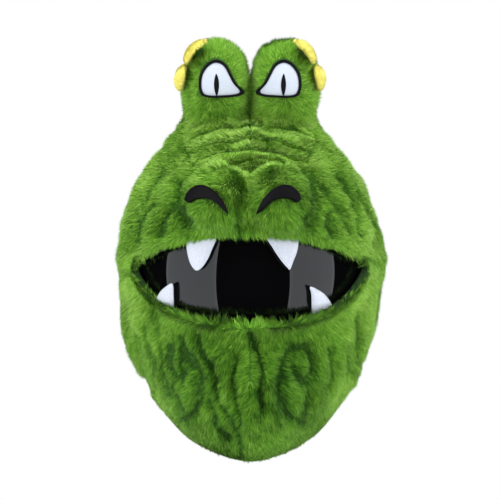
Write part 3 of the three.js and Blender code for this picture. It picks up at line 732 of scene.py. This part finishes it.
def plush_pile():
    """The whole cover's fur, thinned on the back and kept clear of what is sewn on."""
    density = STRANDS_PER_MM2 * 1
    hairy = (tri_outer > 0.12) & (tri_middle[:, 2] > FLOOR + 2)
    spots, facing, which, chosen, w = scatter(skin_points, skin_normals, skin_tris, hairy, density)
    # The turned-in rim counts as deep: its strands are shorter, and painted darker as painted
    # shade.
    deep = np.einsum("ij,ij->i", w, (skin_deep + 0.6 * (1 - skin_outer))[chosen[which]])
    straight = np.einsum("ij,ijk->ik", w, form_normals[chosen[which]])
    upright = unit(0.3 * facing + 0.7 * straight)
    behind = rng.random(len(spots)) > 1 - 0.35 * rise(spots[:, 1], 0, 60)
    keep = (clearance(spots) > 0.4) & (scale_clearance(spots) > 0) & ~behind
    spots, facing, upright, deep = spots[keep], facing[keep], upright[keep], deep[keep]
    region = tri_region[hairy][which][keep]
    # Lighter on the side panels: partly the short pile's own lighter tone, partly painted light
    # from the side lamps.
    side = rise(np.abs(spots[:, 0]), 62, 102)
    tones = 2.5 + 0.9 * side + 0.35 * waves(spots, 60, 31)
    tones += 1.3 * snout_zone(spots)
    # Painted highlight: the top of the nose is lighter, where the light from above falls.
    tones += np.where(region == NOSE, 1.1 * rise(view_of(spots)[1], 64, 78), 0)
    # The nose is a little darker all over. Painted shade: lower on the middle of the jaw, away from
    # the light above.
    tones -= np.where(region == NOSE, 0.3, 0) + 0.5 * rise(spots[:, 2], -20, -80) * (1 - side)
    # Painted light: lighter towards the top of the head, where the light from above falls.
    tones += 0.5 * rise(spots[:, 2], 60, 120)
    width = PILE_WIDTH * 1
    shape = (PILE_LENGTH, width, PILE_LEAN, TUFT_SIZE)
    grow("pile", spots, facing, upright, region, deep, *shape, tones, pile_tones, "plush")


plush_pile()


# ---- Appliqués ----
CAST_FROM = 330  # clear of the face, in millimetres
PATCH_DEPTH = 7.0  # how far a patch reaches down into the pile


def cast(flat, tip):
    """Drops outline points, drawn on a plane tipped back from the front, onto the plush form."""
    right = np.array([1.0, 0, 0])
    up = np.array([0, math.sin(tip), math.cos(tip)])
    back = np.array([0, -math.cos(tip), math.sin(tip)])
    spots, facing = [], []
    for x, u in flat:
        start = right * x + up * u + back * CAST_FROM
        hit, normal, _, _ = form_tree.ray_cast(Vector(start), Vector(-back))
        if hit is None:
            hit, normal = Vector(start - back * 200), Vector(back)
        spots.append(hit)
        facing.append(normal)
    return np.array(spots), np.array(facing)


def even_out(values, rows, columns, closed, rounds):
    """Blurs a grid of points or normals, so that patches don't copy every bump beneath them."""
    grid = values.reshape(rows, columns, 3).copy()
    for _ in range(rounds):
        blurred = grid.copy()
        if rows > 2:
            blurred[1:-1] = (grid[:-2] + 2 * grid[1:-1] + grid[2:]) / 4
        if closed:
            blurred = (np.roll(blurred, 1, 1) + 2 * blurred + np.roll(blurred, -1, 1)) / 4
        else:
            blurred[:, 1:-1] = (blurred[:, :-2] + 2 * blurred[:, 1:-1] + blurred[:, 2:]) / 4
        grid = blurred
    return grid.reshape(-1, 3)


def sheet_solid(name, top, bottom, rows, columns, closed, hollow=False):
    """A thin closed solid between two grids of points.

    A closed grid's rows are rings, and shrink to a point unless the solid is hollow, as a ring is.
    """
    points = np.vstack([top, bottom])
    faces = []
    total = rows * columns
    span = columns if closed else columns - 1
    for r in range(rows - 1):
        for c in range(span):
            d = (c + 1) % columns
            a, b = r * columns + c, r * columns + d
            quad = (a, b, b + columns, a + columns)
            faces.append(quad)
            faces.append(tuple(total + i for i in reversed(quad)))
    edge_rows = [(0, 1)] if closed and not hollow else [(0, 1), (rows - 1, -1)]
    for r, way in edge_rows:
        for c in range(span):
            d = (c + 1) % columns
            a, b = r * columns + c, r * columns + d
            quad = (b, a, total + a, total + b)
            faces.append(quad if way > 0 else tuple(reversed(quad)))
    if not closed:
        for c, way in ((0, -1), (columns - 1, 1)):
            for r in range(rows - 1):
                a, b = r * columns + c, (r + 1) * columns + c
                quad = (b, a, total + a, total + b)
                faces.append(quad if way > 0 else tuple(reversed(quad)))
    mesh = mesh_of(name, points, faces)
    joined = bmesh.new()
    joined.from_mesh(mesh)
    bmesh.ops.remove_doubles(joined, verts=joined.verts, dist=1e-6)
    bmesh.ops.recalc_face_normals(joined, faces=joined.faces)
    joined.to_mesh(mesh)
    joined.free()
    return mesh


def strip_profile(across):
    """The height of a padded strip from edge to edge, 1 over most of it."""
    return np.sqrt(np.clip(1 - (2 * across - 1) ** 4, 0, 1))


def sew_on(name, mesh, mat, node):
    mesh.materials.append(mat)
    new_object(name, mesh, replaces=[node])


def patch(name, outline, middle, lift, crown, mat, node, rim=0.7, rows=12):
    """A sewn-on felt patch: a smooth outline, a soft crown, and an edge that turns down."""
    columns = len(outline)
    rings = [1 - (k / (rows - 1)) ** 1.3 * 0.999 for k in range(rows)]
    flat = np.concatenate([np.asarray(middle) + (outline - middle) * s for s in rings])
    spots, facing = cast(flat, 0.0)
    spots = even_out(spots, rows, columns, True, 6)
    facing = unit(even_out(facing, rows, columns, True, 12))
    inward = np.repeat(1 - np.array(rings), columns)
    height = lift + crown * (1 - (1 - np.clip(inward / 0.35, 0, 1)) ** 2)
    height -= rim * np.exp(-inward / 0.03)
    top = spots + facing * height[:, None]
    bottom = spots + facing * (lift - PATCH_DEPTH)
    sew_on(name, sheet_solid(name, top, bottom, rows, columns, True), mat, node)


def band_patch(name, upper, lower, lift, crown, mat, slot, node):
    """A sewn-on strip between two edges, drawn as the camera sees them."""
    rows, columns = 11, 48
    a, b = smooth_line(upper, columns), smooth_line(lower, columns)
    share = np.linspace(0, 1, rows)
    flat = np.concatenate([a + (b - a) * s for s in share])
    spots, facing = cast(flat, ELEVATION)
    spots = even_out(spots, rows, columns, False, 3)
    facing = unit(even_out(facing, rows, columns, False, 12))
    profile = strip_profile(np.repeat(share, columns))
    top = spots + facing * (lift + crown * profile)[:, None]
    bottom = spots + facing * (lift - PATCH_DEPTH)
    sew_on(name, sheet_solid(name, top, bottom, rows, columns, False), mat, node)


felt_white = textured(
    "felt_white", srgb(170, 177, 190), srgb(184, 190, 203), 0.9, 0.85, 0.25, sheen=0.2
)
satin_black = textured(
    "satin_thread", srgb(8, 7, 9), srgb(24, 22, 27), 0.55, 0.5, 0.7, "weave", sheen=0.05
)
felt_yellow = textured(
    "felt_yellow", srgb(222, 212, 92), srgb(240, 232, 122), 1.6, 0.9, 0.4, sheen=0.4
)

PUPIL = [(33.2, 174.5), (35.7, 182), (35.6, 190), (33.8, 197), (31.4, 191), (30.9, 183)]
PUPIL_MIDDLE = np.array([33.4, 185.0])
EDGE_INNER, WHITE_OUTER = 0.86, 0.9  # shares of the eye's outline: the white runs under its edge


def mirrored(points, way):
    return [(way * x, u) for x, u in points]


def outline_ring(name, outer, inner, mat, node, lift):
    """The embroidered edge round an eye: a raised satin cord between two outlines."""
    rows, columns = 8, len(outer)
    share = np.linspace(0, 1, rows)
    flat = np.concatenate([outer + (inner - outer) * s for s in share])
    spots, facing = cast(flat, 0.0)
    spots = even_out(spots, rows, columns, True, 4)
    facing = unit(even_out(facing, rows, columns, True, 12))
    profile = strip_profile(np.repeat(share, columns))
    top = spots + facing * (lift + profile)[:, None]
    bottom = spots + facing * (lift - PATCH_DEPTH)
    mesh = sheet_solid(name, top, bottom, rows, columns, True, hollow=True)
    sew_on(name, mesh, mat, node)


for side, way in (("left", -1), ("right", 1)):
    flip = np.array([way, 1])
    edge = smooth_loop(mirrored(EYE, way), 110)
    middle = EYE_MIDDLE * flip
    inner = middle + (edge - middle) * EDGE_INNER
    white = middle + (edge - middle) * WHITE_OUTER
    name, node = f"eye_white_patch_{side}", f"eye_white_{side}"
    patch(name, white, middle, 0.4, 0.9, felt_white, node)
    outline_ring(f"eye_edge_{side}", edge, inner, satin_black, f"eye_outline_{side}", 1.0)

    slit = smooth_loop(mirrored(PUPIL, way), 48)
    name, node, core = f"pupil_patch_{side}", f"pupil_{side}", PUPIL_MIDDLE * flip
    patch(name, slit, core, 1.5, 0.5, satin_black, node, rim=0.3, rows=6)

    sides = (mirrored(NOSTRIL_UPPER, way), mirrored(NOSTRIL_LOWER, way))
    edges = [np.array(line) + (NOSTRIL_SHIFT, 0) for line in sides]
    name, node = f"nostril_patch_{side}", f"nostril_{side}"
    band_patch(name, *edges, 0.6, 1.2, satin_black, "black_satin", node)


# ---- Teeth ----
# Each tooth's outline, flat from the front, and its middle.
TEETH = {
    "upper_left": (
        [(-60, 58), (-61.5, 44), (-59, 31), (-55, 24), (-51.5, 22)]
        + [(-47, 25), (-41.5, 33), (-37, 43), (-33, 56), (-46, 64)],
        (-50, 46),
    ),
    "upper_right": (
        [(46, 58), (46, 43), (42, 32.5), (38.6, 24.5), (36.5, 26)]
        + [(30.5, 33), (22.5, 45), (16, 58), (31, 65)],
        (36, 46),
    ),
    "lower_left": (
        [(-95, -25), (-93.5, -18), (-88, -6), (-81, 2)]
        + [(-76, 5), (-75, -4), (-76, -24), (-86, -29)],
        (-83, -14),
    ),
    "lower_right": (
        [(83, -25), (80, -17), (73.5, -6), (66, 1), (58.6, 5), (60, -4), (61.5, -24), (71, -29)],
        (68, -14),
    ),
}
TOOTH_OFFSET = 9.6  # between the visor and the lip
TOOTH_EDGE, TOOTH_PUFF = 0.55, 1.75  # half thicknesses: at the edge, and what stuffing adds
TOOTH_SEAM = 0.13  # the share of the way in at which the edge is stitched
ROOT_TUCK = 2.6  # how far the roots lie in behind the lips


def tooth(name, points, middle):
    """A stuffed tooth that curves with the helmet, stitched round its edge."""
    outline = smooth_loop(points, 72)
    middle = np.array(middle, float)
    rows = 12
    rings = np.array([1 - (k / (rows - 1)) ** 1.2 * 0.999 for k in range(rows)])
    flat = np.concatenate([middle + (outline - middle) * s for s in rings])
    inward = np.repeat(1 - rings, len(outline))
    puff = TOOTH_EDGE + TOOTH_PUFF * np.sqrt(1 - (1 - rise(inward, 0, 0.75)) ** 2)
    puff -= TOOTH_EDGE * hill(inward - TOOTH_SEAM, 0.045)
    tucked = rise(flat[:, 1], 54, 63) + rise(flat[:, 1], -14, -23)
    puff *= 1 - 0.4 * tucked
    offset = TOOTH_OFFSET - ROOT_TUCK * tucked
    a, b = HALF_WIDTH + offset, FRONT + offset
    y = -b * np.sqrt(np.clip(1 - (flat[:, 0] / a) ** 2 - (flat[:, 1] / b) ** 2, 0.01, 1))
    spots = np.stack([flat[:, 0], y, flat[:, 1]], axis=1)
    facing = unit(np.stack([flat[:, 0] / a**2, y / b**2, flat[:, 1] / b**2], axis=1))
    thick = facing * puff[:, None]
    mesh = sheet_solid(name, spots + thick, spots - thick, rows, len(outline), True)
    mesh.materials.append(leather_white)
    piece = new_object(name, mesh, replaces=[name.replace("_felt", "")])


leather_white = textured(
    "tooth_leather", srgb(174, 180, 193), srgb(188, 193, 205), 1.4, 0.55, 0.2, "cells"
)
for key, (points, middle) in TEETH.items():
    tooth(f"tooth_{key}_felt", points, middle)


# ---- Yellow brow scales ----
def brow_scale(node):
    """A stuffed yellow scale: the CAD's, thickened and brought forward on its mound."""
    mesh = remeshed(f"{node}_felt", [node], 1.1, 6)
    points, normals, _ = read_mesh(mesh)
    moved = points + normals * (1.2 + 0.4 * waves(points, 26, 51))[:, None]
    middle, reach = (-6.5, 17.0) if node.endswith("upper") else (-3.5, 15.5)
    across = (moved[:, 1] - 4.0) / 9.2
    moved[:, 1] = middle + reach * np.sign(across) * np.abs(across) ** 0.55
    moved[:, 1] -= 9.0 * rise(np.abs(moved[:, 0]), 62, 42) * node.endswith("upper")
    moved[:, 0] -= 1.5 * np.sign(moved[:, 0])
    move_points(mesh, moved)
    mesh.materials.append(felt_yellow)
    piece = new_object(f"{node}_felt", mesh, replaces=[node])
    return mesh


yellow_tones = [plain(f"yellow_{i}", srgb(*tone), 0.8, 0.3) for i, tone in enumerate(YELLOWS)]
SCALE_PILE = (2.4, 0.5, 0.7, 2.4)  # length, width, lean and tuft size
SCALE_STRANDS_PER_MM2 = 3.2
for side in ("left", "right"):
    for place in ("upper", "lower"):
        mesh = brow_scale(f"brow_scale_{side}_{place}")
        points, normals, tris = read_mesh(mesh)
        everywhere = np.ones(len(tris), bool)
        spots, facing, *_ = scatter(points, normals, tris, everywhere, SCALE_STRANDS_PER_MM2)
        region, flat = np.full(len(spots), LEFT_MOUND), np.zeros(len(spots))
        name = f"brow_pile_{side}_{place}"
        sewn = (*SCALE_PILE, flat + 1.0, yellow_tones, "yellow_felt")
        grow(name, spots, facing, facing, region, flat, *sewn)


# ---- Visor: the CAD's shield, with its curved faces made exact ----
def refine(node, length):
    """The CAD's mesh, cut finer until no edge is longer than the length in millimetres."""
    mesh = bmesh.new()
    mesh.from_mesh(nodes[node].data)
    bmesh.ops.remove_doubles(mesh, verts=mesh.verts, dist=1e-6)
    for _ in range(5):
        longer = [e for e in mesh.edges if e.calc_length() > length / MM]
        if not longer:
            break
        bmesh.ops.subdivide_edges(mesh, edges=longer, cuts=1)
        bmesh.ops.triangulate(mesh, faces=mesh.faces)
    out = bpy.data.meshes.new(f"{node}_fine")
    mesh.to_mesh(out)
    mesh.free()
    return out


def onto_brow(points, offset):
    """Points moved onto the brow's form, and how far out of it each one was, as a ratio."""
    a, b = HALF_WIDTH + offset, FRONT + offset
    share = np.sqrt((points[:, 0] / a) ** 2 + (points[:, 1] ** 2 + points[:, 2] ** 2) / b**2)
    return points / share[:, None], share


def visor():
    mesh = refine("visor", 6)
    points, _, _ = read_mesh(mesh)
    outer, share_out = onto_brow(points, VISOR_OUT)
    inner, share_in = onto_brow(points, VISOR_IN)
    is_out = np.abs(share_out - 1) < np.abs(share_in - 1)
    move_points(mesh, np.where(is_out[:, None], outer, inner))
    mat = plain("smoked_visor", srgb(5, 5, 6), 0.03)
    mat.node_tree.nodes["Principled BSDF"].inputs["IOR"].default_value = 1.5
    mesh.materials.append(mat)
    new_object("visor_shield", mesh, body="visor", replaces=["visor"])
    mesh.set_sharp_from_angle(angle=math.radians(40))


visor()


# ---- Soft pads inside the helmet, and the sleeves on its strap ----
# Each piece's depth of quilting and the pitch of its seams.
QUILTED = {
    "comfort_liner": (3.0, 30.0),
    "cheek_pad_left": (2.4, 26.0),
    "cheek_pad_right": (2.4, 26.0),
    "neck_roll": (2.0, 24.0),
    "strap_sleeve_left": (0.5, 12.0),
    "strap_sleeve_right": (0.5, 12.0),
}


def quilted(node, depth, pitch):
    """A padded piece: rounded over, and drawn in along seams a pitch apart."""
    thin = depth < 1
    mesh = remeshed(f"{node}_pad", [node], 0.9 if thin else 1.8, 3 if thin else 8)
    points, normals, _ = read_mesh(mesh)
    turn = np.arctan2(points[:, 0], -points[:, 1]) * 80  # roughly the distance round the head
    across = np.abs(np.sin(np.pi * turn / pitch))
    along = np.abs(np.sin(np.pi * (points[:, 2] + 0.25 * turn) / pitch))
    seam = hill(across * pitch, 6) + hill(along * pitch, 6)
    puckers = (1 + waves(points, pitch * 0.6, 61)) / 2
    drawn = depth * np.clip(seam, 0, 1) * 0.8 + 0.2 * depth * puckers
    move_points(mesh, points - normals * drawn[:, None])
    mesh.materials.append(finishes["textile"])
    new_object(f"{node}_pad", mesh, replaces=[node])


# ---- Everything inside: the CAD's own solids, with real finishes ----
# Name, dark and light tones, pattern size, roughness, relief and pattern, then what is unusual.
FINISHES = {
    "shell_paint": ("shell_lacquer", (12, 12, 14), (17, 17, 20), 0.5, 0.22, 0.02, "noise", {}),
    "foam": ("eps_beads", (30, 30, 32), (58, 58, 61), 3.4, 0.85, 0.6, "cells", {}),
    "textile": (
        "brushed_mesh", (20, 20, 24), (44, 44, 50), 1.1, 0.95, 0.7, "weave", {"sheen": 0.3}
    ),
    "rubber": ("moulded_rubber", (14, 14, 15), (24, 24, 26), 0.8, 0.7, 0.25, "noise", {}),
    "plastic": ("moulded_plastic", (20, 20, 22), (30, 30, 33), 0.6, 0.5, 0.2, "noise", {}),
    "steel": (
        "brushed_steel", (150, 152, 156), (196, 198, 202), 0.5, 0.3, 0.1, "noise",
        {"metallic": 1.0, "stretch": (0.08, 1, 1)},
    ),
    "webbing": ("webbing", (14, 14, 16), (38, 38, 42), 1.3, 0.9, 0.8, "weave", {}),
    "red_tape": ("red_tape", (150, 22, 18), (196, 40, 32), 0.8, 0.7, 0.6, "weave", {}),
}
finishes = {
    slot: textured(name, srgb(*dark), srgb(*light), *surface, **unusual)
    for slot, (name, dark, light, *surface, unusual) in FINISHES.items()
}
slot_of = {s["node"]: s["material_slot"] for s in frame["record"]["subparts"]}
for name, obj in nodes.items():
    finish = finishes.get(slot_of[name])
    if finish and not obj.hide_render:
        for i in range(len(obj.material_slots)):
            obj.material_slots[i].material = finish


for pad_node, (pad_depth, pad_pitch) in QUILTED.items():
    quilted(pad_node, pad_depth, pad_pitch)


# ---- Floor, light and camera ----
def by_ray(tree, usual, output, seen, reflected):
    """Shows one shader to the camera and another to glossy rays, and lights with the usual one."""
    path = add(tree, "LightPath")
    current = usual
    for socket, shader in (("Is Camera Ray", seen), ("Is Glossy Ray", reflected)):
        inputs = {"Fac": path.outputs[socket], 1: current, 2: shader.outputs[0]}
        current = add(tree, "MixShader", inputs).outputs[0]
    tree.links.new(current, output.inputs["Surface"])


WHITE, BLACK = (1, 1, 1, 1), (0, 0, 0, 1)
FLOOR_REACH, FLOOR_DROP = 9, 0.0005  # in metres, as the studio is
SKY_STRENGTH = 0.62
CARD_REACH, CARD_LOW, CARD_HIGH, CARD_BRIGHTNESS = 2.0, -4.0, 5.0, 2.1


def floor():
    mesh = bpy.data.meshes.new("floor")
    r = FLOOR_REACH
    mesh.from_pydata([(-r, -r, 0), (r, -r, 0), (r, r, 0), (-r, r, 0)], [], [(0, 1, 2, 3)])
    obj = placed("floor", mesh)
    obj.location.z = -FLOOR_DROP
    paper = plain("floor_paper", srgb(250, 250, 251), 0.9)
    mesh.materials.append(paper)
    tree = paper.node_tree
    usual = tree.nodes["Principled BSDF"].outputs[0]
    white, clear = add(tree, "Emission"), add(tree, "BsdfTransparent")
    by_ray(tree, usual, tree.nodes["Material Output"], white, clear)


def sky():
    world = bpy.data.worlds.new("studio")
    bpy.context.scene.world = world
    world.use_nodes = True
    tree = world.node_tree
    usual = tree.nodes["Background"]
    usual.inputs["Color"].default_value = WHITE
    usual.inputs["Strength"].default_value = SKY_STRENGTH
    seen = add(tree, "Background", {"Color": WHITE})
    dark = add(tree, "Background", {"Color": BLACK})
    by_ray(tree, usual.outputs[0], tree.nodes["World Output"], seen, dark)


def card(name, start, end):
    """A tall white card between two azimuths, which only glossy rays see."""
    middle, half = math.radians((start + end) / 2), math.radians(abs(end - start) / 2)
    w = CARD_REACH * math.tan(half)
    mesh = bpy.data.meshes.new(name)
    corners = [(-w, 0, CARD_LOW), (w, 0, CARD_LOW), (w, 0, CARD_HIGH), (-w, 0, CARD_HIGH)]
    mesh.from_pydata(corners, [], [(0, 1, 2, 3)])
    obj = placed(name, mesh)
    obj.location = (math.sin(middle) * CARD_REACH, -math.cos(middle) * CARD_REACH, 0)
    obj.rotation_euler = (0, 0, middle)
    mat = bpy.data.materials.new(name)
    mat.use_nodes = True
    tree = mat.node_tree
    tree.nodes.clear()
    across = add(tree, "SeparateXYZ", {0: add(tree, "TexCoord").outputs["Generated"]})
    ramp = add(tree, "ValToRGB", {"Fac": across.outputs["X"]})
    bands = ramp.color_ramp.elements
    bands[0].color = bands[1].color = WHITE
    for place in (0.07, 0.93):
        bands.new(place).color = (0.78, 0.78, 0.78, 1)
    strength = add(tree, "Math", {0: ramp.outputs["Color"], 1: CARD_BRIGHTNESS})
    strength.operation = "MULTIPLY"
    inputs = {"Color": (0.9, 0.95, 1.0, 1), "Strength": strength.outputs[0]}
    glow = add(tree, "Emission", inputs)
    add(tree, "OutputMaterial", {"Surface": glow.outputs[0]})
    mesh.materials.append(mat)
    for kind in ("camera", "diffuse", "transmission", "volume_scatter", "shadow"):
        setattr(obj, f"visible_{kind}", False)


def softbox(name, azimuth, height, distance, width, tall, power):
    """A rectangular light turned to the object, in metres and watts."""
    light = bpy.data.lights.new(name, "AREA")
    light.shape = "RECTANGLE"
    light.size, light.size_y = width, tall
    light.energy = power
    obj = placed(name, light)
    a = math.radians(azimuth)
    obj.location = (math.sin(a) * distance, -math.cos(a) * distance, height)
    obj.rotation_euler = (Vector((0, 0, 0.2)) - obj.location).to_track_quat("-Z", "Y").to_euler()
    obj.visible_glossy = False


def studio():
    floor()
    sky()
    card("card_left", -31.6, -83.6)
    card("card_right", 37.3, 84.5)
    softbox("softbox_left", -60, 0.9, 2.0, 1.7, 2.4, 38)
    softbox("softbox_right", 61, 0.9, 2.0, 1.6, 2.4, 36)
    softbox("top_light", 0, 2.6, 0.4, 1.6, 1.6, 52)


def camera():
    data = bpy.data.cameras.new("camera")
    data.sensor_width = SENSOR_MM
    data.lens = SENSOR_MM * DISTANCE / (FRAME_PIXELS * MM_PER_PIXEL)
    data.clip_end = 50
    obj = placed("camera", data)
    obj.location = to_m(VIEW_BACK * DISTANCE + VIEW_UP * AIM_UP)
    turn = Matrix((VIEW_RIGHT, VIEW_UP, VIEW_BACK)).transposed()
    obj.rotation_euler = turn.to_euler()
    bpy.context.scene.camera = obj


studio()
camera()
bpy.context.scene.view_settings.view_transform = "Standard"

bpy.context.view_layer.update()
